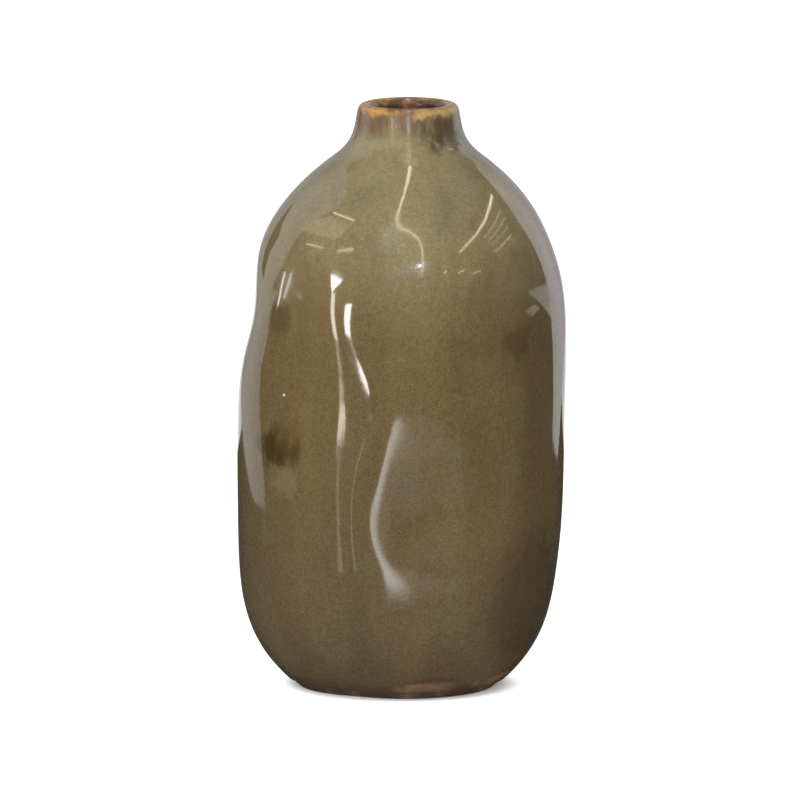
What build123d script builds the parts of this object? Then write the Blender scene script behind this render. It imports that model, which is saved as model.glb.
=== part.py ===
"""Pillow vase: a soft, hand-pressed stoneware bottle with a luted neck collar, a bare foot ring
and fired glaze coats. Millimetres, +Z up, origin on the table under the middle of the vase.

The front faces -Y. A turn is an angle round the vase, 0 at the front and +90 at the right side (+X).
"""

import os
from collections import namedtuple
from math import cos, exp, hypot, pi, radians, sin

from build123d import *

# Overall form, measured over the glaze
total_height = 250.0
belly_width = 139.0
belly_depth = 113.0
belly_height = 120.0
foot_width = 84.5
foot_depth = 58.0
foot_roundness = 5.4
shoulder_roundness = 3.8

# The pot leans a little: its foot sits left of the belly and its neck right of it
foot_shift = -1.5
neck_shift = 3.5
lean_power = 1.3

# Neck collar
neck_height = 22.0
neck_root_diameter = 62.0
neck_diameter = 42.6
neck_taper = 13.0
mouth_bore = 30.0
mouth_bore_length = 9.0

# Clay and glaze
wall = 5.0
floor_thickness = 6.0
floor_corner_radius = 7.0
glaze = 0.6
liner = 0.5
slip = 0.8

# Foot ring
foot_height = 3.0
foot_ring_width = 9.0
foot_edge_radius = 0.8
bare_height = 4.0

# How finely the pressed form is followed
outline_points = 60
level_count = 28

# Where hands pressed the soft clay: turn in degrees, the rest in millimetres.
# slant is in degrees and tips the mark's upper end to the right. A negative depth is a soft swelling.
Press = namedtuple("Press", "turn height depth half_width half_length slant")
presses = [
    Press(turn=-90, height=163, depth=4.9, half_width=26, half_length=22, slant=0),
    Press(turn=-90, height=68, depth=0.9, half_width=30, half_length=32, slant=0),
    Press(turn=-48, height=147, depth=2.6, half_width=16, half_length=33, slant=-7),
    Press(turn=-37, height=171, depth=-1.2, half_width=11, half_length=18, slant=-3),
    Press(turn=-22, height=127, depth=0.4, half_width=9, half_length=45, slant=4),
    Press(turn=-11, height=86, depth=0.7, half_width=9, half_length=27, slant=-6),
    Press(turn=-10, height=163, depth=1.1, half_width=14, half_length=24, slant=-3),
    Press(turn=4, height=170, depth=2.3, half_width=20, half_length=31, slant=-4),
    Press(turn=-7, height=200, depth=2.9, half_width=25, half_length=15, slant=-33),
    Press(turn=31, height=216, depth=3.2, half_width=17, half_length=24, slant=25),
    Press(turn=19, height=87, depth=4.5, half_width=26, half_length=25, slant=0),
    Press(turn=0, height=86, depth=1.2, half_width=10, half_length=26, slant=0),
    Press(turn=66, height=128, depth=2.6, half_width=20, half_length=42, slant=0),
    Press(turn=92, height=48, depth=0.9, half_width=28, half_length=22, slant=0),
    Press(turn=95, height=192, depth=0.8, half_width=26, half_length=16, slant=0),
    Press(turn=-40, height=0, depth=2.6, half_width=24, half_length=14, slant=0),
    Press(turn=178, height=150, depth=5.0, half_width=18, half_length=34, slant=8),
    Press(turn=138, height=84, depth=3.2, half_width=20, half_length=34, slant=0),
    Press(turn=-142, height=112, depth=3.6, half_width=17, half_length=40, slant=-6),
]

seam_height = total_height - neck_height
seam_fade = 24
slope_step = 0.05


def half_size(z, foot, belly, root, shoulder_power):
    """Half the form's width or depth at height z, before pressing."""
    if z <= belly_height:
        return belly - (belly - foot) * (1 - z / belly_height) ** foot_roundness
    climb = (z - belly_height) / (seam_height - belly_height)
    return belly - (belly - root) * climb**shoulder_power


# The depth closes in faster than the width, so that the shoulder meets the round neck at one slope
shoulder_depth_roundness = (
    shoulder_roundness * (belly_width - neck_root_diameter) / (belly_depth - neck_root_diameter)
)


def pressed_in(turn, z):
    """How far hands pushed the clay in at this turn (radians) and height; nothing at the neck seam."""
    total = 0.0
    for mark in presses:
        reach = half_size(
            mark.height, foot_width / 2, belly_width / 2, neck_root_diameter / 2, shoulder_roundness
        )
        away = (turn - radians(mark.turn) + pi) % (2 * pi) - pi
        across, along = reach * away, z - mark.height
        tip = radians(mark.slant)
        u = across * cos(tip) - along * sin(tip)
        v = across * sin(tip) + along * cos(tip)
        total += mark.depth * exp(-((u / mark.half_width) ** 2) - (v / mark.half_length) ** 2)
    return total * (1 - (z / seam_height) ** seam_fade) ** 2


def outer_radius(turn, z):
    """Distance from the vase's own axis to the glazed surface."""
    half_width = half_size(
        z, foot_width / 2, belly_width / 2, neck_root_diameter / 2, shoulder_roundness
    )
    half_depth = half_size(
        z, foot_depth / 2, belly_depth / 2, neck_root_diameter / 2, shoulder_depth_roundness
    )
    oval = half_width * half_depth / hypot(half_depth * sin(turn), half_width * cos(turn))
    return oval - pressed_in(turn, z)


def level_cut(thickness, turn, z):
    """The level width of a layer this thick on the sloping wall."""
    slope = (outer_radius(turn, z + slope_step) - outer_radius(turn, z - slope_step)) / (2 * slope_step)
    return thickness * hypot(1, slope)


def axis_x(z):
    """Where the leaning axis stands at height z."""
    return foot_shift + (neck_shift - foot_shift) * (max(z, 0) / seam_height) ** lean_power


def outline_point(depth, turn, z):
    """Where the form's outline at height z passes this turn, this deep under the glazed surface."""
    radius = outer_radius(turn, z) - level_cut(depth, turn, z)
    return (axis_x(z) + radius * sin(turn), -radius * cos(turn))


def pressed_form(depth, low, high, mode=Mode.ADD):
    """A solid of the pressed form between two heights, this deep under the glazed surface."""
    # Every outline is spaced by the same steps of turn, so that the sections join up evenly
    steps = [i / outline_points for i in range(outline_points + 1)]
    sections = []
    for level in range(level_count + 1):
        z = low + (high - low) * level / level_count
        outline = [outline_point(depth, 2 * pi * step, z) for step in steps[:-1]]
        with BuildSketch(Plane.XY.offset(z)) as section:
            with BuildLine():
                add(Edge.make_spline(outline, periodic=True, parameters=steps))
            make_face()
        sections.append(section.sketch)
    loft(sections, mode=mode)


def keep_between(low, high):
    """Keeps the slice of the current part between two heights."""
    split(bisect_by=Plane.XY.offset(low), keep=Keep.TOP)
    split(bisect_by=Plane.XY.offset(high), keep=Keep.BOTTOM)


# Heights of the joints, from the table up
foot_slip_top = foot_height + slip
floor_top = foot_slip_top + floor_thickness
neck_slip_top = seam_height + slip

# The neck is round. Its lip is a full round between the tapered outside and the straight bore
neck_plane = Plane(origin=(neck_shift, 0, 0), x_dir=(1, 0, 0), z_dir=(0, -1, 0))
neck_axis = Axis((neck_shift, 0, 0), (0, 0, 1))
root_slope = (outer_radius(0, seam_height) - outer_radius(0, seam_height - slope_step)) / slope_step
lip_radius = (neck_diameter - mouth_bore) / 4
lip_centre_height = total_height - lip_radius
bore_bottom = lip_centre_height - mouth_bore_length


def root_radius(depth):
    """Radius of the round seam under the neck, this deep under the glazed surface."""
    return outer_radius(0, seam_height) - level_cut(depth, 0, seam_height)


def collar_outline(inset, inner_depth):
    """The neck's half section: up the outside, over the lip, down the bore and out to the seam."""
    outer_root = (root_radius(inset), seam_height)
    lip_centre = (neck_diameter + mouth_bore) / 4
    taper = radians(neck_taper)
    outer_lip = (
        lip_centre + (lip_radius - inset) * cos(taper),
        lip_centre_height + (lip_radius - inset) * sin(taper),
    )
    crest = (lip_centre, total_height - inset)
    inner_lip = (mouth_bore / 2 + inset, lip_centre_height)
    bore_end = (mouth_bore / 2 + inset, bore_bottom)
    inner_root = (root_radius(inner_depth), seam_height)
    Spline(outer_root, outer_lip, tangents=[(root_slope, 1), (-sin(taper), cos(taper))])
    ThreePointArc(outer_lip, crest, inner_lip)
    Line(inner_lip, bore_end)
    Spline(bore_end, inner_root, tangents=[(0, -1), (-root_slope, -1)])
    Line(inner_root, outer_root)


def clay_collar():
    """The thrown collar of clay, before it is cut from its bed of slip."""
    with BuildSketch(neck_plane) as section:
        with BuildLine():
            collar_outline(glaze, glaze + wall)
        make_face()
    revolve(section.sketch, axis=neck_axis)


def foot_recess():
    """Takes the middle out of the current part, inside the foot ring."""
    with BuildSketch() as recess:
        with Locations((foot_shift, 0)):
            Ellipse(foot_width / 2 - foot_ring_width, foot_depth / 2 - foot_ring_width)
    extrude(recess.sketch, amount=foot_slip_top, mode=Mode.SUBTRACT)


os.makedirs("parts", exist_ok=True)

# The outside of the clay, from the table to the neck seam
with BuildPart() as clay_form:
    pressed_form(glaze, 0, seam_height)

# The hollow in the clay, and the space for water inside its glaze
with BuildPart() as clay_hollow:
    pressed_form(glaze + wall, floor_top, seam_height)
    fillet(clay_hollow.faces().sort_by(Axis.Z)[0].edges(), floor_corner_radius)
with BuildPart() as water_space:
    pressed_form(glaze + wall + liner, floor_top + liner, seam_height)
    fillet(water_space.faces().sort_by(Axis.Z)[0].edges(), floor_corner_radius - liner)

# Foot ring: bare clay, the only piece that touches the table
with BuildPart() as foot_ring:
    add(clay_form.part)
    keep_between(0, foot_height)
    foot_recess()
    fillet(foot_ring.faces().sort_by(Axis.Z)[0].edges(), foot_edge_radius)
foot_ring.part.label = "foot_ring"
export_step(foot_ring.part, "parts/foot_ring.step")

# Foot slip: the liquid clay that lutes the foot ring to the floor
with BuildPart() as foot_slip:
    add(clay_form.part)
    keep_between(foot_height, foot_slip_top)
    foot_recess()
foot_slip.part.label = "foot_slip"
export_step(foot_slip.part, "parts/foot_slip.step")

# Body wall: the pressed pillow of clay with its floor, open at the top
with BuildPart() as body_wall:
    add(clay_form.part)
    keep_between(foot_slip_top, seam_height)
    add(clay_hollow.part, mode=Mode.SUBTRACT)
body_wall.part.label = "body_wall"
export_step(body_wall.part, "parts/body_wall.step")

# Liner glaze: the coat inside the body that makes it hold water
with BuildPart() as liner_glaze:
    add(clay_hollow.part)
    add(water_space.part, mode=Mode.SUBTRACT)
liner_glaze.part.label = "liner_glaze"
export_step(liner_glaze.part, "parts/liner_glaze.step")

# Body glaze: the olive coat outside, from the wiped band above the foot to the neck seam
with BuildPart() as body_glaze:
    pressed_form(0, 0, seam_height)
    keep_between(bare_height, seam_height)
    add(clay_form.part, mode=Mode.SUBTRACT)
body_glaze.part.label = "body_glaze"
export_step(body_glaze.part, "parts/body_glaze.step")

# Neck slip: the ring of liquid clay that lutes the collar to the shoulder
with BuildPart() as neck_slip:
    clay_collar()
    split(bisect_by=Plane.XY.offset(neck_slip_top), keep=Keep.BOTTOM)
neck_slip.part.label = "neck_slip"
export_step(neck_slip.part, "parts/neck_slip.step")

# Neck collar: thrown by itself, with a thick rounded lip
with BuildPart() as neck_collar:
    clay_collar()
    split(bisect_by=Plane.XY.offset(neck_slip_top), keep=Keep.TOP)
neck_collar.part.label = "neck_collar"
export_step(neck_collar.part, "parts/neck_collar.step")

# Neck glaze: the amber coat over the collar, round the lip and down the bore
with BuildPart() as neck_glaze:
    with BuildSketch(neck_plane):
        with BuildLine():
            collar_outline(0, glaze + wall + liner)
        make_face()
        with BuildLine():
            collar_outline(glaze, glaze + wall)
        make_face(mode=Mode.SUBTRACT)
    revolve(axis=neck_axis)
neck_glaze.part.label = "neck_glaze"
export_step(neck_glaze.part, "parts/neck_glaze.step")
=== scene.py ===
"""A hand-pressed stoneware pillow vase in olive glaze, with an amber lip and dark iron runs."""

from collections import namedtuple
from math import atan2, cos, exp, hypot, pi, radians, sin, tan

import bmesh
import bpy
from mathutils import Matrix, Vector
from mathutils.geometry import interpolate_bezier


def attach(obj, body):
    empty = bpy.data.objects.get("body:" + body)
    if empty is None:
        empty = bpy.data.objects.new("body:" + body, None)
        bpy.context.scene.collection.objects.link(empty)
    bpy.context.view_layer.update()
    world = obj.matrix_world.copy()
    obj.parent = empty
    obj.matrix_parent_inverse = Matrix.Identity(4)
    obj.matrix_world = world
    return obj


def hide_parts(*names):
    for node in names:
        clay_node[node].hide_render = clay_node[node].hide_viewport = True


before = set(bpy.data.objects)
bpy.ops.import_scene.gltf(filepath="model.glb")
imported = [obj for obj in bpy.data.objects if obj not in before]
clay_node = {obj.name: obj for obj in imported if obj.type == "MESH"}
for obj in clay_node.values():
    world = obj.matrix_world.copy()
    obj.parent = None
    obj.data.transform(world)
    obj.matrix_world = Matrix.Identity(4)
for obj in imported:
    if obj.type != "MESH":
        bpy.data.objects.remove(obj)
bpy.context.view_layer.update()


# Foot ring and its seam of slip: the bare stoneware that stands on the table. It is turned from the same
# clay as the pot, luted on with slip and wiped clean of glaze, so fire flashes it brown with tan patches.
def add_node(tree, kind, settings=None, inputs=None):
    """Adds a shader node. An input is a plain value, or an output socket that is joined to it."""
    made = tree.nodes.new("ShaderNode" + kind)
    for name, value in (settings or {}).items():
        setattr(made, name, value)
    for name, value in (inputs or {}).items():
        if isinstance(value, bpy.types.NodeSocket):
            tree.links.new(value, made.inputs[name])
        else:
            made.inputs[name].default_value = value
    return made


def new_effect(name, inputs, outputs):
    """Starts a shader group with named sockets and returns its tree, its input node and its output node."""
    tree = bpy.data.node_groups.new(name, "ShaderNodeTree")
    for label, (kind, value) in inputs.items():
        socket = tree.interface.new_socket(label, in_out="INPUT", socket_type="NodeSocket" + kind)
        socket.default_value = value
    for label, kind in outputs.items():
        tree.interface.new_socket(label, in_out="OUTPUT", socket_type="NodeSocket" + kind)
    return tree, tree.nodes.new("NodeGroupInput"), tree.nodes.new("NodeGroupOutput")


def place_effect(tree, effect, inputs=None):
    """Puts a shader group into a material."""
    return add_node(tree, "Group", {"node_tree": effect}, inputs)


def surface(name, colour, roughness):
    """A new material: its tree and its Principled shader, with the plain values already set."""
    made = bpy.data.materials.new(name)
    made.use_nodes = True
    shader = made.node_tree.nodes["Principled BSDF"]
    shader.inputs["Base Color"].default_value = (*colour, 1)
    shader.inputs["Roughness"].default_value = roughness
    made.diffuse_color = (*colour, 1)
    return made, made.node_tree, shader


def blend_colour(tree, share, first, second):
    """Mixes two colours by a mask and returns the mixed colour."""
    mix = add_node(tree, "Mix", {"data_type": "RGBA"}, {0: share, 6: first, 7: second})
    return mix.outputs[2]


def remap(tree, value, low, high, to_low=0.0, to_high=1.0):
    """Stretches a range of values, with a soft start and end."""
    settings = {"interpolation_type": "SMOOTHSTEP"}
    limits = {"Value": value, "From Min": low, "From Max": high, "To Min": to_low, "To Max": to_high}
    return add_node(tree, "MapRange", settings, limits).outputs["Result"]


def product(tree, first, second):
    """Multiplies two masks."""
    return add_node(tree, "Math", {"operation": "MULTIPLY"}, {0: first, 1: second}).outputs[0]


def scaled_sum(tree, value, scale, offset):
    """A value times a scale, plus an offset."""
    return add_node(tree, "Math", {"operation": "MULTIPLY_ADD"}, {0: value, 1: scale, 2: offset}).outputs[0]


def rough_noise(tree, place, scale, detail=3.0, stretch=(1, 1, 1)):
    """A noise pattern whose features are about one metre over the scale, stretched along an axis if asked."""
    mapped = add_node(tree, "Mapping", None, {"Vector": place, "Scale": stretch}).outputs["Vector"]
    settings = {"Vector": mapped, "Scale": scale, "Detail": detail}
    return add_node(tree, "TexNoise", None, settings).outputs["Fac"]


clay_effect, clay_in, clay_out = new_effect(
    "fired_clay",
    {
        "Clay": ("Color", (0.2, 0.1, 0.06, 1)),
        "Flash": ("Color", (0.4, 0.27, 0.15, 1)),
        "Flashing": ("Float", 0.5),
    },
    {"Color": "Color", "Roughness": "Float", "Grain": "Float"},
)
clay_place = add_node(clay_effect, "TexCoord").outputs["Object"]
clay_patches = remap(clay_effect, rough_noise(clay_effect, clay_place, 70, 4), 0.46, 0.66)
clay_flash = product(clay_effect, clay_patches, clay_in.outputs["Flashing"])
clay_colour = blend_colour(clay_effect, clay_flash, clay_in.outputs["Clay"], clay_in.outputs["Flash"])
clay_grog = add_node(clay_effect, "TexVoronoi", None, {"Vector": clay_place, "Scale": 1300})
clay_grit = remap(clay_effect, clay_grog.outputs["Distance"], 0.1, 0.3, 0.35, 0.0)
clay_colour = blend_colour(clay_effect, clay_grit, clay_colour, (0.06, 0.038, 0.026, 1))
clay_sand = rough_noise(clay_effect, clay_place, 2200)
clay_effect.links.new(clay_colour, clay_out.inputs["Color"])
clay_effect.links.new(remap(clay_effect, clay_sand, 0.3, 0.7, 0.55, 0.8), clay_out.inputs["Roughness"])
clay_effect.links.new(clay_sand, clay_out.inputs["Grain"])


def clay_finish(name, clay, flash, flashing):
    """Bare fired clay: grog, flashing and a sandy tooth."""
    made, tree, shader = surface(name, clay, 0.7)
    grain = place_effect(tree, clay_effect, {"Clay": (*clay, 1), "Flash": (*flash, 1), "Flashing": flashing})
    tree.links.new(grain.outputs["Color"], shader.inputs["Base Color"])
    tree.links.new(grain.outputs["Roughness"], shader.inputs["Roughness"])
    tooth_depth = {"Strength": 0.35, "Distance": 0.0003, "Height": grain.outputs["Grain"]}
    tooth = add_node(tree, "Bump", None, tooth_depth)
    tree.links.new(tooth.outputs["Normal"], shader.inputs["Normal"])
    return made


def finish_with(piece, material):
    """Gives a piece one material."""
    piece.data.materials.clear()
    piece.data.materials.append(material)


fired_brown, fired_tan = (0.125, 0.077, 0.047), (0.32, 0.21, 0.115)
foot_clay = clay_finish("foot_clay", fired_brown, fired_tan, 0.75)
seam_slip = clay_finish("seam_slip", (0.115, 0.072, 0.046), (0.22, 0.14, 0.08), 0.5)
finish_with(clay_node["foot_ring"], foot_clay)
finish_with(clay_node["foot_slip"], seam_slip)


# Body wall: the pot itself, thrown round in stoneware, then pressed oval and dented by hand while soft.
# Only a narrow wiped band of it shows, above the foot.
wall_clay = clay_finish("wall_clay", fired_brown, fired_tan, 0.6)
finish_with(clay_node["body_wall"], wall_clay)


# Liner: the dark brown glaze that was poured into the pot and out again, so that it holds water.
# It lies against the inside of the wall, and is seen only down through the mouth.
liner_glaze, liner_tree, liner_shader = surface("liner_glaze", (0.045, 0.02, 0.014), 0.2)
liner_place = add_node(liner_tree, "TexCoord").outputs["Object"]
liner_cloud = rough_noise(liner_tree, liner_place, 45)
liner_colour = blend_colour(liner_tree, liner_cloud, (0.03, 0.012, 0.009, 1), (0.085, 0.04, 0.022, 1))
liner_tree.links.new(liner_colour, liner_shader.inputs["Base Color"])
liner_wave = rough_noise(liner_tree, liner_place, 140)
liner_tree.links.new(remap(liner_tree, liner_wave, 0.3, 0.7, 0.14, 0.28), liner_shader.inputs["Roughness"])
finish_with(clay_node["liner_glaze"], liner_glaze)


# Body glaze: a glossy olive-brown coat, dipped from the neck's root to just above the foot. It is
# fine-grained, shifts between green and brown, and is stained where iron bled through. Its colour also
# holds painted light: painted shade darkens the upper and lower right, the shoulder's lighter, greyer olive
# is partly painted sheen, and a painted glint marks one pinhole. The form is one outline spun round, then
# moved in by the same hand presses as the clay under it.
mm = 0.001
neck_seam = 228.0
glaze_line = 4.0
glaze_coat = 0.6
belly_height = 120.0
foot_width, belly_width, neck_root = 84.5, 139.0, 62.0
foot_depth, belly_depth = 58.0, 113.0
foot_roundness, shoulder_roundness = 5.4, 3.8
foot_shift, neck_shift, lean_power = -1.5, 3.5, 1.3
seam_fade = 24
shoulder_depth_roundness = shoulder_roundness * (belly_width - neck_root) / (belly_depth - neck_root)

Press = namedtuple("Press", "turn height depth half_width half_length slant")
presses = [
    Press(turn=-90, height=163, depth=4.9, half_width=26, half_length=22, slant=0),
    Press(turn=-90, height=68, depth=0.9, half_width=30, half_length=32, slant=0),
    Press(turn=-48, height=147, depth=2.6, half_width=16, half_length=33, slant=-7),
    Press(turn=-37, height=171, depth=-1.2, half_width=11, half_length=18, slant=-3),
    Press(turn=-22, height=127, depth=0.4, half_width=9, half_length=45, slant=4),
    Press(turn=-11, height=86, depth=0.7, half_width=9, half_length=27, slant=-6),
    Press(turn=-10, height=163, depth=1.1, half_width=14, half_length=24, slant=-3),
    Press(turn=4, height=170, depth=2.3, half_width=20, half_length=31, slant=-4),
    Press(turn=-7, height=200, depth=2.9, half_width=25, half_length=15, slant=-33),
    Press(turn=31, height=216, depth=3.2, half_width=17, half_length=24, slant=25),
    Press(turn=19, height=87, depth=4.5, half_width=26, half_length=25, slant=0),
    Press(turn=0, height=86, depth=1.2, half_width=10, half_length=26, slant=0),
    Press(turn=66, height=128, depth=2.6, half_width=20, half_length=42, slant=0),
    Press(turn=92, height=48, depth=0.9, half_width=28, half_length=22, slant=0),
    Press(turn=95, height=192, depth=0.8, half_width=26, half_length=16, slant=0),
    Press(turn=-40, height=0, depth=2.6, half_width=24, half_length=14, slant=0),
    Press(turn=178, height=150, depth=5.0, half_width=18, half_length=34, slant=8),
    Press(turn=138, height=84, depth=3.2, half_width=20, half_length=34, slant=0),
    Press(turn=-142, height=112, depth=3.6, half_width=17, half_length=40, slant=-6),
]


def half_size(z, foot, belly, root, shoulder_power):
    """Half the width or the depth of the unpressed pot at a height."""
    if z <= belly_height:
        return belly - (belly - foot) * (1 - z / belly_height) ** foot_roundness
    climb = (z - belly_height) / (neck_seam - belly_height)
    return belly - (belly - root) * climb**shoulder_power


def half_width_at(z):
    """Half the pot's width at a height, before pressing."""
    return half_size(z, foot_width / 2, belly_width / 2, neck_root / 2, shoulder_roundness)


def pressed_in(turn, z):
    """How far the hand presses move the wall inward at a turn and a height."""
    total = 0.0
    for mark in presses:
        away = (turn - radians(mark.turn) + pi) % (2 * pi) - pi
        across, along = half_width_at(mark.height) * away, z - mark.height
        tip = radians(mark.slant)
        u = across * cos(tip) - along * sin(tip)
        v = across * sin(tip) + along * cos(tip)
        total += mark.depth * exp(-((u / mark.half_width) ** 2) - (v / mark.half_length) ** 2)
    return total * (1 - (z / neck_seam) ** seam_fade) ** 2


def pillow_radius(turn, z):
    """The pressed pot's radius from its own leaning axis."""
    wide = half_width_at(z)
    deep = half_size(z, foot_depth / 2, belly_depth / 2, neck_root / 2, shoulder_depth_roundness)
    return wide * deep / hypot(deep * sin(turn), wide * cos(turn)) - pressed_in(turn, z)


def axis_x(z):
    """Where the leaning axis stands at a height."""
    return foot_shift + (neck_shift - foot_shift) * (max(z, 0) / neck_seam) ** lean_power


spin_steps = 256


def spin_round(mesh):
    """Spins an outline round the Z axis, closes its seam and turns its faces outward."""
    outline = mesh.verts[:] + mesh.edges[:]
    bmesh.ops.spin(mesh, geom=outline, axis=(0, 0, 1), angle=2 * pi, steps=spin_steps, use_merge=True)
    bmesh.ops.remove_doubles(mesh, verts=mesh.verts, dist=1e-6)
    bmesh.ops.recalc_face_normals(mesh, faces=mesh.faces)


def finished_piece(name, mesh, material, node):
    """Turns a bmesh into a smooth piece of the vase, crisp at its rims, that stands in for a plain one."""
    for face in mesh.faces:
        face.smooth = True
    for edge in mesh.edges:
        if edge.calc_face_angle(0) > radians(50):
            edge.smooth = False
    data = bpy.data.meshes.new(name)
    mesh.to_mesh(data)
    mesh.free()
    piece = bpy.data.objects.new(name, data)
    bpy.context.scene.collection.objects.link(piece)
    finish_with(piece, material)
    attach(piece, "root")
    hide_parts(node)


outer_rows, inner_rows = 190, 24
coat_low, coat_high = half_width_at(glaze_line), half_width_at(neck_seam)
coat = bmesh.new()
outer_low = coat.verts.new((coat_low * mm, 0, glaze_line * mm))
outer_high = coat.verts.new((coat_high * mm, 0, neck_seam * mm))
inner_high = coat.verts.new(((coat_high - glaze_coat) * mm, 0, neck_seam * mm))
inner_low = coat.verts.new(((coat_low - glaze_coat) * mm, 0, glaze_line * mm))
outer_line, inner_line = coat.edges.new((outer_low, outer_high)), coat.edges.new((inner_high, inner_low))
coat.edges.new((outer_high, inner_high))
coat.edges.new((inner_low, outer_low))
bmesh.ops.subdivide_edges(coat, edges=[outer_line], cuts=outer_rows - 1)
bmesh.ops.subdivide_edges(coat, edges=[inner_line], cuts=inner_rows - 1)
spin_round(coat)
for corner in coat.verts:
    z = corner.co.z / mm
    turn = atan2(corner.co.x, -corner.co.y)
    straight = coat_low + (coat_high - coat_low) * (z - glaze_line) / (neck_seam - glaze_line)
    under = straight - hypot(corner.co.x, corner.co.y) / mm
    radius = pillow_radius(turn, z) - under
    corner.co.x = (axis_x(z) + radius * sin(turn)) * mm
    corner.co.y = -radius * cos(turn) * mm


def shade(tree, colour, amount):
    """Darkens or lightens a colour by a value that changes over the surface."""
    settings = {"data_type": "RGBA", "blend_type": "MULTIPLY"}
    return add_node(tree, "Mix", settings, {0: 1.0, 6: colour, 7: amount}).outputs[2]


olive_effect, olive_in, olive_out = new_effect(
    "olive_glaze",
    {"Freckles": ("Float", 1.0)},
    {"Color": "Color", "Roughness": "Float", "Ripple": "Float"},
)
olive_place = add_node(olive_effect, "TexCoord").outputs["Object"]
olive_height = add_node(olive_effect, "SeparateXYZ", None, {"Vector": olive_place}).outputs["Z"]
olive_level = remap(olive_effect, olive_height, 0.0, 0.25)
olive_ramp = add_node(olive_effect, "ValToRGB", None, {"Fac": olive_level})
# Lighter and greyer towards the shoulder: partly the glaze's own olive, partly painted sheen where the
# shoulder faces the overhead light.
olive_stops = [
    (0.0, (0.145, 0.108, 0.058)),
    (0.3, (0.142, 0.102, 0.046)),
    (0.68, (0.156, 0.113, 0.05)),
    (0.88, (0.23, 0.184, 0.088)),
    (1.0, (0.25, 0.205, 0.1)),
]
while len(olive_ramp.color_ramp.elements) < len(olive_stops):
    olive_ramp.color_ramp.elements.new(0.5)
for stop, (level, colour) in zip(olive_ramp.color_ramp.elements, olive_stops):
    stop.position = level
    stop.color = (*colour, 1)
olive_hue = rough_noise(olive_effect, olive_place, 62, 5, (1, 1, 0.6))
brown_share = remap(olive_effect, olive_hue, 0.5, 0.7, 0, 0.35)
olive_colour = blend_colour(olive_effect, brown_share, olive_ramp.outputs["Color"], (0.165, 0.098, 0.046, 1))
green_share = remap(olive_effect, olive_hue, 0.5, 0.3, 0, 0.35)
olive_colour = blend_colour(olive_effect, green_share, olive_colour, (0.158, 0.138, 0.07, 1))
olive_runs = rough_noise(olive_effect, olive_place, 40, 4, (1, 1, 0.22))
olive_colour = shade(olive_effect, olive_colour, scaled_sum(olive_effect, olive_runs, 0.7, 0.65))
olive_grain = rough_noise(olive_effect, olive_place, 2300, 2)
olive_fleck = rough_noise(olive_effect, olive_place, 520, 3)
olive_colour = shade(olive_effect, olive_colour, scaled_sum(olive_effect, olive_grain, 1.4, 0.3))
olive_colour = shade(olive_effect, olive_colour, scaled_sum(olive_effect, olive_fleck, 0.5, 0.75))
freckle_cells = add_node(olive_effect, "TexVoronoi", None, {"Vector": olive_place, "Scale": 420})
freckle_dots = remap(olive_effect, freckle_cells.outputs["Distance"], 0.06, 0.17, 1, 0)
freckle_choice = add_node(olive_effect, "SeparateColor", None, {"Color": freckle_cells.outputs["Color"]})
freckle_pick = remap(olive_effect, freckle_choice.outputs["Red"], 0.7, 0.9, 0, 0.6)
freckle_pick = product(olive_effect, freckle_pick, olive_in.outputs["Freckles"])
freckle_share = product(olive_effect, freckle_dots, freckle_pick)
olive_colour = blend_colour(olive_effect, freckle_share, olive_colour, (0.05, 0.032, 0.016, 1))
olive_effect.links.new(olive_colour, olive_out.inputs["Color"])
olive_effect.links.new(remap(olive_effect, olive_runs, 0.3, 0.7, 0.045, 0.09), olive_out.inputs["Roughness"])
olive_effect.links.new(rough_noise(olive_effect, olive_place, 90, 2), olive_out.inputs["Ripple"])

stain_and_shade_effect, patch_in, patch_out = new_effect(
    "stain_and_shade_patch",
    {"Centre": ("Vector", (0, 0, 0)), "Reach": ("Vector", (0.01, 0.01, 0.01)), "Ragged": ("Float", 0.5)},
    {"Mask": "Float"},
)
patch_place = add_node(stain_and_shade_effect, "TexCoord").outputs["Object"]
patch_offset = add_node(
    stain_and_shade_effect, "VectorMath", {"operation": "SUBTRACT"}, {0: patch_place, 1: patch_in.outputs["Centre"]}
).outputs[0]
patch_scaled = add_node(
    stain_and_shade_effect, "VectorMath", {"operation": "DIVIDE"}, {0: patch_offset, 1: patch_in.outputs["Reach"]}
).outputs[0]
patch_far = add_node(stain_and_shade_effect, "VectorMath", {"operation": "LENGTH"}, {0: patch_scaled}).outputs["Value"]
patch_bays = scaled_sum(stain_and_shade_effect, rough_noise(stain_and_shade_effect, patch_place, 240, 6, (1, 1, 0.5)), 3.0, -1.5)
patch_grain = scaled_sum(stain_and_shade_effect, rough_noise(stain_and_shade_effect, patch_place, 1500, 2), 1.2, -0.6)
patch_wander = scaled_sum(stain_and_shade_effect, patch_bays, 1.0, patch_grain)
patch_edge = scaled_sum(stain_and_shade_effect, patch_wander, patch_in.outputs["Ragged"], patch_far)
stain_and_shade_effect.links.new(remap(stain_and_shade_effect, patch_edge, 0.5, 1.15, 1, 0), patch_out.inputs["Mask"])


def stain_and_shade_mask(tree, centre, reach, ragged):
    """A ragged patch on a glaze, used both for stains and for painted shade. Its centre and reach are in
    millimetres.
    """
    settings = {"Centre": Vector(centre) * mm, "Reach": Vector(reach) * mm, "Ragged": ragged}
    return place_effect(tree, stain_and_shade_effect, settings).outputs["Mask"]


def glaze_gloss(tree, shader, roughness, wave):
    """The gloss of a glaze: how rough it is, with a faint ripple over the surface."""
    shader.inputs["IOR"].default_value = 1.6
    tree.links.new(roughness, shader.inputs["Roughness"])
    ripple_depth = {"Strength": 0.06, "Distance": 0.0006, "Height": wave}
    ripple = add_node(tree, "Bump", None, ripple_depth)
    tree.links.new(ripple.outputs["Normal"], shader.inputs["Normal"])


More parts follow.
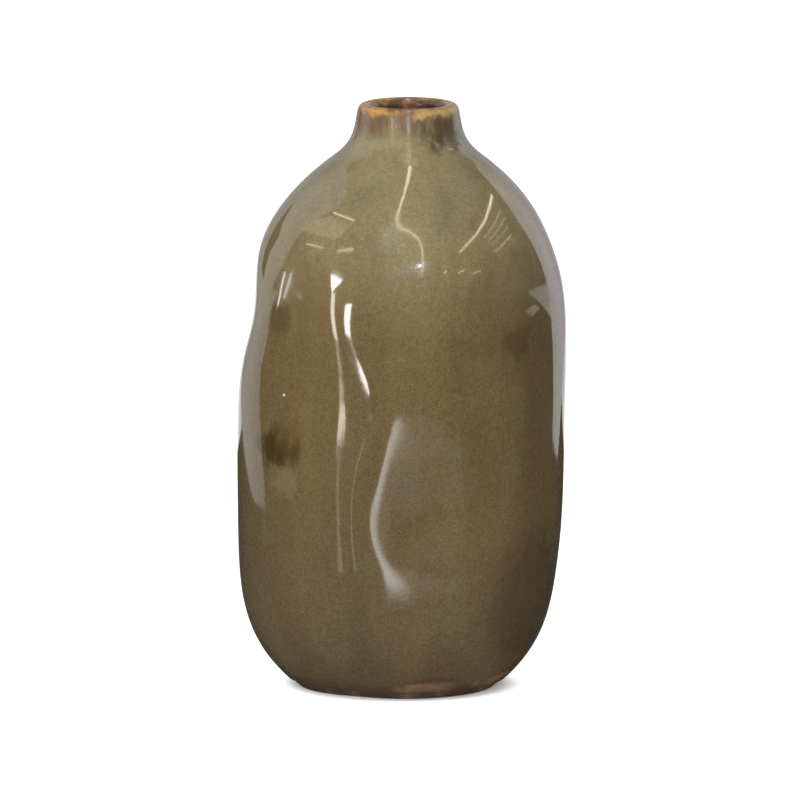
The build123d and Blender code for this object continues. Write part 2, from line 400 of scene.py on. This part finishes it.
iron_brown, rust_brown, deep_brown = (0.085, 0.05, 0.015), (0.14, 0.056, 0.022), (0.07, 0.045, 0.025)
ColourPatch = namedtuple("ColourPatch", "colour centre reach ragged strength")
stains_and_painted_shade = [
    ColourPatch((0.21, 0.17, 0.095), (-47.5, -40, 96.5), (6.5, 10, 8), 0.7, 0.6),
    ColourPatch(iron_brown, (-51, -36.5, 110), (12, 18, 9.5), 0.6, 0.85),
    ColourPatch((0.05, 0.03, 0.01), (-54.5, -34, 108), (6, 10, 7), 0.8, 0.7),
    ColourPatch((0.15, 0.082, 0.03), (-44.5, -42, 118), (5, 9, 6), 0.5, 0.45),
    ColourPatch((0.1, 0.056, 0.022), (-50, -34, 164), (6.5, 11, 8), 0.4, 0.6),
    ColourPatch((0.17, 0.095, 0.045), (-36, -44, 176), (13, 16, 16), 0.5, 0.4),
    ColourPatch(deep_brown, (48.6, -40.5, 156), (8, 10, 9), 0.5, 0.45),
    # Painted shade: a broad soft darkening over the upper right, where less light falls.
    ColourPatch(deep_brown, (46, -40, 170), (26, 28, 34), 0.4, 0.3),
    # Painted shade: a broad soft darkening along the lower right, away from the key light.
    ColourPatch((0.05, 0.031, 0.016), (56, -30, 42), (25, 34, 38), 0.1, 0.5),
    ColourPatch((0.1, 0.055, 0.046), (14, -36, 9), (13, 10, 4), 0.5, 0.45),
    ColourPatch((0.3, 0.15, 0.09), (16.6, -35.1, 221.9), (2.2, 3, 1.6), 0.4, 0.4),
    # Painted glint: a tiny near-white dot where a pinhole catches the light.
    ColourPatch((0.75, 0.72, 0.62), (-48.3, -37.6, 132.6), (0.7, 0.9, 0.7), 0, 0.9),
    ColourPatch(iron_brown, (36, 42, 132), (12, 12, 20), 0.6, 0.55),
    ColourPatch(rust_brown, (-44, 36, 70), (9, 12, 14), 0.6, 0.5),
]
olive_glaze, body_tree, body_shader = surface("olive_glaze", (0.16, 0.118, 0.058), 0.07)
body_glaze = place_effect(body_tree, olive_effect, {"Freckles": 1.0})
body_colour = body_glaze.outputs["Color"]
for body_mark in stains_and_painted_shade:
    patch = stain_and_shade_mask(body_tree, body_mark.centre, body_mark.reach, body_mark.ragged)
    patch = product(body_tree, patch, body_mark.strength)
    body_colour = blend_colour(body_tree, patch, body_colour, (*body_mark.colour, 1))
body_place = add_node(body_tree, "TexCoord").outputs["Object"]
body_height = add_node(body_tree, "SeparateXYZ", None, {"Vector": body_place}).outputs["Z"]
wipe_wander = rough_noise(body_tree, body_place, 55, 5)
wipe_reach, wipe_low, wipe_high = 9 * mm, 2.5 * mm, 5 * mm
wipe_edge = scaled_sum(body_tree, wipe_wander, -wipe_reach, body_height)
wiped_share = remap(body_tree, wipe_edge, wipe_low, wipe_high, 0.9, 0)
wiped_colours = {"Clay": (*fired_brown, 1), "Flash": (*fired_tan, 1), "Flashing": 0.8}
wiped_clay = place_effect(body_tree, clay_effect, wiped_colours)
body_colour = blend_colour(body_tree, wiped_share, body_colour, wiped_clay.outputs["Color"])
body_tree.links.new(body_colour, body_shader.inputs["Base Color"])
glaze_gloss(body_tree, body_shader, body_glaze.outputs["Roughness"], body_glaze.outputs["Ripple"])
finished_piece("olive_coat", coat, olive_glaze, "body_glaze")


# Neck collar and its seam of slip: a short collar thrown by itself and luted onto the shoulder.
# Glaze covers all of it outside and down the bore.
collar_clay = clay_finish("collar_clay", fired_brown, fired_tan, 0.6)
finish_with(clay_node["neck_collar"], collar_clay)
finish_with(clay_node["neck_slip"], seam_slip)


# Neck glaze: the coat over the collar, round the thick lip and down the bore, spun from one outline.
# It thins to amber on the lip, and iron runs from it in dark streaks, a little duller, to the shoulder.
total_height = 250.0
lip_width, mouth_bore, bore_length, lip_taper = 42.6, 30.0, 9.0, radians(13)
lip_radius = (lip_width - mouth_bore) / 4
lip_centre = Vector(((lip_width + mouth_bore) / 4, 0, total_height - lip_radius))
slope_step = 0.05
root_slope = (half_width_at(neck_seam - slope_step) - half_width_at(neck_seam)) / -slope_step

side_rows, lip_rows, bore_rows = 64, 28, 16
side_foot = Vector((neck_root / 2, 0, neck_seam))
side_head = lip_centre + lip_radius * Vector((cos(lip_taper), 0, sin(lip_taper)))
side_pull = (side_head.z - side_foot.z) / 3
foot_pull = side_foot + side_pull * Vector((root_slope, 0, 1))
head_pull = side_head - side_pull * Vector((-tan(lip_taper), 0, 1))
neck = bmesh.new()
side = [
    neck.verts.new(point * mm)
    for point in interpolate_bezier(side_foot, foot_pull, head_pull, side_head, side_rows + 1)
]
for pair in zip(side, side[1:]):
    neck.edges.new(pair)
lip_arc = bmesh.ops.spin(
    neck, geom=[side[-1]], cent=lip_centre * mm, axis=(0, -1, 0), angle=pi - lip_taper, steps=lip_rows
)
bore_top = [corner for corner in lip_arc["geom_last"] if isinstance(corner, bmesh.types.BMVert)]
bore = bmesh.ops.extrude_vert_indiv(neck, verts=bore_top)
bmesh.ops.translate(neck, verts=bore["verts"], vec=(0, 0, -bore_length * mm))
bmesh.ops.subdivide_edges(neck, edges=bore["edges"], cuts=bore_rows - 1)
spin_round(neck)
bmesh.ops.solidify(neck, geom=neck.faces[:], thickness=glaze_coat * mm)
bmesh.ops.translate(neck, verts=neck.verts, vec=(neck_shift * mm, 0, 0))

amber_glaze, neck_tree, neck_shader = surface("amber_glaze", (0.3, 0.16, 0.06), 0.07)
neck_glaze = place_effect(neck_tree, olive_effect, {"Freckles": 0.6})
neck_place = add_node(neck_tree, "TexCoord").outputs["Object"]
neck_axes = add_node(neck_tree, "SeparateXYZ", None, {"Vector": neck_place}).outputs
neck_fur = rough_noise(neck_tree, neck_place, 520, 4, (1, 1, 0.1))
neck_drift = rough_noise(neck_tree, neck_place, 80, 4, (1, 1, 0.5))
neck_level = scaled_sum(neck_tree, neck_drift, 0.012, neck_axes["Z"])
neck_level = scaled_sum(neck_tree, neck_fur, 0.006, neck_level)
neck_colour = neck_glaze.outputs["Color"]

red_share = remap(neck_tree, neck_level, 0.2465, 0.2535)
red_share = product(neck_tree, red_share, remap(neck_tree, neck_fur, 0.35, 0.6, 0.45, 0.95))
neck_colour = blend_colour(neck_tree, red_share, neck_colour, (0.17, 0.092, 0.05, 1))
run_marks = [
    ColourPatch((0.075, 0.055, 0.028), (17, -15, 240.5), (13, 15, 9), 0.5, 0.85),
    ColourPatch((0.036, 0.027, 0.014), (15, -19, 235.5), (4.5, 9, 5), 0.5, 0.8),
    ColourPatch((0.045, 0.034, 0.018), (24, -10, 236), (4, 9, 5), 0.5, 0.7),
    ColourPatch((0.062, 0.046, 0.024), (-14, 15, 241), (12, 14, 9), 0.5, 0.8),
]
run_fur = remap(neck_tree, neck_fur, 0.3, 0.6, 0.3, 1)
for mark in run_marks:
    run = product(neck_tree, stain_and_shade_mask(neck_tree, mark.centre, mark.reach, mark.ragged), run_fur)
    run = product(neck_tree, run, mark.strength)
    neck_colour = blend_colour(neck_tree, run, neck_colour, (*mark.colour, 1))

lip_share = remap(neck_tree, neck_level, 0.2562, 0.2582)
across_lip = scaled_sum(neck_tree, neck_drift, 0.05, neck_axes["X"])
lip_middle = remap(neck_tree, across_lip, 0.021, 0.028)
lip_right = remap(neck_tree, across_lip, 0.034, 0.042)
lip_fur = remap(neck_tree, neck_fur, 0.48, 0.68, 0, 0.5)
lip_colour = blend_colour(neck_tree, lip_middle, (0.56, 0.3, 0.075, 1), (0.22, 0.1, 0.06, 1))
lip_colour = blend_colour(neck_tree, lip_right, lip_colour, (0.5, 0.33, 0.13, 1))
lip_colour = blend_colour(neck_tree, lip_fur, lip_colour, (0.2, 0.1, 0.05, 1))
neck_colour = blend_colour(neck_tree, lip_share, neck_colour, lip_colour)

neck_to_axis = {0: neck_place, 1: (1, 1, 0), 2: (-neck_shift * mm, 0, 0)}
neck_flat = add_node(neck_tree, "VectorMath", {"operation": "MULTIPLY_ADD"}, neck_to_axis).outputs[0]
neck_out = add_node(neck_tree, "VectorMath", {"operation": "LENGTH"}, {0: neck_flat}).outputs["Value"]
bore_share = remap(neck_tree, neck_out, 0.0166, 0.0154)
bore_mottle = rough_noise(neck_tree, neck_place, 150, 4)
bore_colour = blend_colour(
    neck_tree, remap(neck_tree, bore_mottle, 0.42, 0.6), (0.09, 0.058, 0.034, 1), (0.32, 0.16, 0.07, 1)
)
across_bore = scaled_sum(neck_tree, bore_mottle, 0.03, neck_axes["X"])
maroon_share = remap(neck_tree, across_bore, 0.018, 0.026, 0, 0.85)
bore_colour = blend_colour(neck_tree, maroon_share, bore_colour, (0.08, 0.02, 0.018, 1))
# Painted shade: the bore darkens to near black deeper down, where little light reaches.
bore_painted_shade = remap(neck_tree, neck_axes["Z"], 0.2415, 0.2455)
bore_colour = blend_colour(neck_tree, bore_painted_shade, (0.05, 0.02, 0.016, 1), bore_colour)
neck_colour = blend_colour(neck_tree, bore_share, neck_colour, bore_colour)
neck_tree.links.new(neck_colour, neck_shader.inputs["Base Color"])
fur_roughness = remap(neck_tree, neck_fur, 0.3, 0.7, 0.14, 0.32)
glaze_gloss(neck_tree, neck_shader, fur_roughness, neck_glaze.outputs["Ripple"])
finished_piece("amber_neck_coat", neck, amber_glaze, "neck_glaze")


# The studio: a white table under soft light, with pale walls to either side and tubes overhead,
# whose lines and bands show in the gloss. None of this is part of the vase.
def stage_panel(name, corners, material, hidden=True):
    """A flat panel of the studio, given its corners in metres."""
    mesh = bmesh.new()
    mesh.faces.new([mesh.verts.new(corner) for corner in corners])
    data = bpy.data.meshes.new(name)
    mesh.to_mesh(data)
    mesh.free()
    panel = bpy.data.objects.new(name, data)
    bpy.context.scene.collection.objects.link(panel)
    panel.data.materials.append(material)
    panel.visible_camera = not hidden
    return panel


def flat(x0, y0, x1, y1, z):
    """Corners of a level panel."""
    return [(x0, y0, z), (x1, y0, z), (x1, y1, z), (x0, y1, z)]


table_white = bpy.data.materials.new("table_white")
table_white.use_nodes = True
table_tree = table_white.node_tree
table_tree.nodes.clear()
table_paint = add_node(table_tree, "BsdfDiffuse", None, {"Color": (0.86, 0.86, 0.86, 1)})
ray = add_node(table_tree, "LightPath").outputs
either = {"operation": "MAXIMUM"}
seen = add_node(table_tree, "Math", either, {0: ray["Is Camera Ray"], 1: ray["Is Glossy Ray"]}).outputs[0]
seen = add_node(table_tree, "Math", either, {0: seen, 1: ray["Is Transmission Ray"]}).outputs[0]
table_place = add_node(table_tree, "TexCoord").outputs["Object"]
foot_shares = (2 / (foot_width * mm), 2 / (foot_depth * mm), 0)
table_oval = add_node(table_tree, "VectorMath", {"operation": "MULTIPLY"}, {0: table_place, 1: foot_shares})
table_span = add_node(table_tree, "VectorMath", {"operation": "LENGTH"}, {0: table_oval.outputs[0]})
# Painted light: for camera and gloss rays the table glows, weakly round the foot and fully farther out, so
# the vase's shadow shows only close to its foot.
table_lift = product(table_tree, seen, remap(table_tree, table_span.outputs["Value"], 0.95, 1.32, 0.2, 0.95))
table_glow = add_node(table_tree, "Emission", None, {"Color": (1, 1, 1, 1), "Strength": table_lift})
table_sum = add_node(table_tree, "AddShader", None, {0: table_paint.outputs[0], 1: table_glow.outputs[0]})
add_node(table_tree, "OutputMaterial", None, {"Surface": table_sum.outputs[0]})
stage_panel("table", flat(-6, -6, 6, 6, 0), table_white, hidden=False)


def glow_finish(name, colour, strength, fades=()):
    """A glow for the studio's panels. Each fade takes it down along an axis: (axis, from, to, share left)."""
    made = bpy.data.materials.new(name)
    made.use_nodes = True
    tree = made.node_tree
    tree.nodes.clear()
    place = add_node(tree, "TexCoord").outputs["Object"]
    axes = add_node(tree, "SeparateXYZ", None, {"Vector": place}).outputs
    for axis, start, end, left in fades:
        strength = product(tree, remap(tree, axes[axis], start, end, 1, left), strength)
    glow = add_node(tree, "Emission", None, {"Color": (*colour, 1), "Strength": strength})
    add_node(tree, "OutputMaterial", None, {"Surface": glow.outputs[0]})
    return made


def reflector(name, corners, material):
    """A panel that is seen only in the gloss: it neither lights the vase nor throws a shadow."""
    panel = stage_panel(name, corners, material)
    panel.visible_diffuse = False
    panel.visible_shadow = False


def upright(x, outline):
    """Corners of a panel that stands beside the vase, given as (y, z) pairs."""
    return [(x, y, z) for y, z in outline]


wall_out = 0.43
left_low = [(1.4, 0), (0.15, 0), (0.03, 0.008), (0.06, 0.07), (0.1, 0.16)]
left_high = [(0.04, 0.23), (0.05, 0.42), (-0.07, 0.63), (0.07, 0.78), (1.4, 0.82)]
right_low = [(1.4, 0), (0.36, 0), (0.22, 0.03), (0.2, 0.08), (0.21, 0.13)]
right_high = [(0.2, 0.25), (0.17, 0.38), (0.24, 0.52), (0.45, 0.66), (1.4, 0.76)]
left_glow = glow_finish("left_glow", (1, 0.97, 0.96), 1.15, [("Y", 0.1, 0.8, 0.45)])
right_glow = glow_finish("right_glow", (0.96, 0.95, 1), 1.75, [("Y", 0.1, 0.8, 0.4)])
reflector("left_wall", upright(-wall_out, left_low + left_high), left_glow)
reflector("right_wall", upright(wall_out, right_low + right_high), right_glow)
back_glow = glow_finish("back_glow", (0.98, 0.97, 1), 0.5)
back_y, back_top = 1.4, 0.8
back_feet = [(-wall_out, back_y, 0), (wall_out, back_y, 0)]
back_heads = [(wall_out, back_y, back_top), (-wall_out, back_y, back_top)]
reflector("back_wall", back_feet + back_heads, back_glow)
dark_cloth = surface("dark_cloth", (0.03, 0.026, 0.022), 0.9)[0]
cloth_rise, slit_inset = 0.0004, 0.005
reflector("dark_cloth", flat(-6, -6, 6, 0.5, cloth_rise), dark_cloth)
left_slit = [(0.27, 0.31), (0.33, 0.15), (0.5, 0.15), (0.56, 0.43)]
reflector("left_slit", upright(slit_inset - wall_out, left_slit), dark_cloth)

ceiling_glow = glow_finish("ceiling_glow", (1, 0.98, 0.92), 0.45)
ceiling_height, tube_height = 1.4, 1.15
reflector("ceiling", flat(-1.2, -3.2, 1.2, 0.7, ceiling_height), ceiling_glow)

warm_white = (1, 0.9, 0.66)
bright_tube = glow_finish("bright_tube", warm_white, 10)
dim_tube = glow_finish("dim_tube", (1, 0.97, 0.86), 3)


def strip_corners(start, end, width, height):
    """Corners of a level strip from one (x, y) place to another."""
    start, end = Vector(start), Vector(end)
    half = (end - start).orthogonal().normalized() * width / 2
    return [(*place, height) for place in (start - half, start + half, end + half, end - half)]


def tube(name, start, end, glow, width=0.036):
    """A slim lamp under the ceiling, from one (x, y) place to another."""
    reflector(name, strip_corners(start, end, width, tube_height), glow)


tube("tube_middle", (0.02, -7.0), (0.02, 0.5), bright_tube)
tube("tube_right", (1.1, -1.6), (1.1, 0.45), bright_tube)
tube("tube_far_right", (2.07, -0.97), (2.07, 0.2), bright_tube)
tube("tube_left", (-1.07, -0.12), (-0.85, -0.95), bright_tube)
tube("tube_far_left", (-2.6, -0.11), (-2.14, -1.04), bright_tube, 0.08)
tube("tube_front_left", (-1.74, -1.97), (-1.2, -2.83), bright_tube, 0.08)
for number, x in enumerate((1.3, 1.48, 1.7)):
    tube("dim_tube_%d" % number, (x, -0.7), (x, 0.3), dim_tube)
for number, (x, y) in enumerate(((1.2, -4.2), (2.0, -3.4), (2.9, -2.9))):
    tube("far_tube_%d" % number, (x, y - 0.4), (x, y + 0.4), bright_tube, 0.09)
beam_glow = glow_finish("beam_glow", (1, 0.92, 0.74), 1.5)
beam_outline = [(-2.0, 0.5), (-1.5, 0.2), (-1.16, -0.15), (-0.98, -1.1), (-1.41, -1.37), (-1.82, -0.44)]
reflector("beam", [(x, y, tube_height) for x, y in beam_outline], beam_glow)

slit_glow = glow_finish("slit_glow", (1, 1, 1), 9)
slit_back = [(0.03, 0.27), (0.06, 0.27), (0.035, 0.1), (0.0, 0.1)]
slit_front = [(-0.05, 0.272), (-0.03, 0.272), (-0.045, 0.11), (-0.062, 0.11)]
slit_out = 1.0
reflector("slit_back", upright(-slit_out, slit_back), slit_glow)
reflector("slit_front", upright(-slit_out, slit_front), slit_glow)
smudge_glow = glow_finish("smudge_glow", (1, 0.98, 0.96), 1.2)
smudge = [(-0.016, 0.122), (0.05, 0.13), (0.1, 0.118), (0.04, 0.108)]
reflector("smudge", upright(wall_out, smudge), smudge_glow)


def standing_strip(name, middle, turn, width, low, high, glow):
    """An upright strip that faces the vase from a (x, y) place, seen at a turn in degrees from the front."""
    half = Vector((cos(radians(turn)), sin(radians(turn)))) * width / 2
    left, right = Vector(middle) - half, Vector(middle) + half
    reflector(name, [(*left, low), (*right, low), (*right, high), (*left, high)], glow)


strip_rise = 0.003


def lying_strip(name, near, far, width, glow):
    """A pale strip of the table from one (x, y) place to another."""
    reflector(name, strip_corners(near, far, width, strip_rise), glow)


cream_window = glow_finish("cream_window", (1, 0.93, 0.76), 11)
white_window = glow_finish("white_window", (1, 1, 1), 18)
standing_strip("cream_strip", (-0.475, -0.714), -34, 0.07, 0.01, 0.3, cream_window)
standing_strip("white_strip", (-0.293, -0.805), -20, 0.062, 0.05, 0.205, white_window)
corner_glow = glow_finish("corner_glow", (1, 0.99, 0.99), 25)
window_corner = [(-0.662, -0.777, 0.444), (-0.466, -0.918, 0.407), (-0.608, -0.848, 0.335)]
reflector("window_corner", window_corner, corner_glow)
gleam = glow_finish("gleam", (1, 0.95, 0.86), 1.4)
lying_strip("gleam_left", (-0.126, -0.201), (-0.36, -0.549), 0.014, gleam)
lying_strip("gleam_left_far", (-0.394, -0.599), (-0.444, -0.674), 0.06, cream_window)
lying_strip("gleam_right", (-0.094, -0.239), (-0.225, -0.564), 0.012, gleam)
lying_strip("gleam_right_far", (-0.241, -0.717), (-0.267, -0.793), 0.04, gleam)
sheet_across = [("X", -0.002, 0.04, 0.12), ("X", 0.04, 0.2, 0), ("X", -0.008, -0.02, 0)]
sheet_along = [("Y", -0.55, -0.8, 0), ("Y", -0.3, -0.12, 0)]
sheet_glow = glow_finish("sheet_glow", (0.98, 0.97, 1), 4.8, sheet_across + sheet_along)
reflector("sheet", flat(-0.02, -0.8, 0.3, -0.12, strip_rise), sheet_glow)


def soft_disc(name, centre, radius, colour, strength, core):
    """A round lamp that faces the front of the vase and fades from its core to its rim."""
    mesh = bmesh.new()
    bmesh.ops.create_circle(mesh, cap_ends=True, segments=48, radius=radius)
    bmesh.ops.rotate(mesh, verts=mesh.verts, matrix=Matrix.Rotation(pi / 2, 3, "X"))
    bmesh.ops.translate(mesh, verts=mesh.verts, vec=centre)
    corners = [corner.co.copy() for corner in mesh.verts]
    mesh.free()
    glow = glow_finish(name, colour, strength)
    tree = glow.node_tree
    place = add_node(tree, "TexCoord").outputs["Object"]
    far = add_node(tree, "VectorMath", {"operation": "DISTANCE"}, {0: place, 1: centre}).outputs["Value"]
    shine = tree.nodes["Emission"]
    tree.links.new(remap(tree, far, core, radius, strength, 0), shine.inputs["Strength"])
    clear = add_node(tree, "BsdfTransparent")
    both = add_node(tree, "AddShader", None, {0: shine.outputs[0], 1: clear.outputs[0]})
    tree.links.new(both.outputs[0], tree.nodes["Material Output"].inputs["Surface"])
    reflector(name, corners, glow)


soft_disc("spot", (-0.019, -1.49, 0.603), 0.024, (0.95, 0.97, 1), 60, 0.012)
soft_disc("spot_glow", (-0.019, -1.5, 0.6), 0.26, (0.72, 0.84, 1), 1.8, 0.02)


def lamp(name, place, aim, width, watts):
    """A square lamp that points from its place at its aim. It hides from the camera and from the gloss."""
    light = bpy.data.lights.new(name, "AREA")
    light.size = width
    light.energy = watts
    made = bpy.data.objects.new(name, light)
    bpy.context.scene.collection.objects.link(made)
    made.location = place
    made.rotation_euler = (Vector(aim) - Vector(place)).to_track_quat("-Z", "Y").to_euler()
    made.visible_camera = False
    made.visible_glossy = False


vase_middle = (0, 0, 0.12)
lamp("key", (-0.9, -1.8, 1.9), vase_middle, 1.2, 39)
lamp("fill", (0.2, -2.4, 1.0), vase_middle, 1.6, 24)

world = bpy.data.worlds.new("room")
bpy.context.scene.world = world
world.use_nodes = True
world.node_tree.nodes["Background"].inputs["Color"].default_value = (0.2, 0.19, 0.18, 1)
world.node_tree.nodes["Background"].inputs["Strength"].default_value = 1.0

look_at = Vector((0, 0, 0.1233))
look_down = radians(10.8)
look_from = 2.5
camera_data = bpy.data.cameras.new("camera")
camera_data.lens, camera_data.sensor_width = 266, 36
camera = bpy.data.objects.new("camera", camera_data)
bpy.context.scene.collection.objects.link(camera)
camera.location = look_at + look_from * Vector((0, -cos(look_down), sin(look_down)))
camera.rotation_euler = (pi / 2 - look_down, 0, 0)
bpy.context.scene.camera = camera
bpy.context.scene.view_settings.view_transform = "Standard"
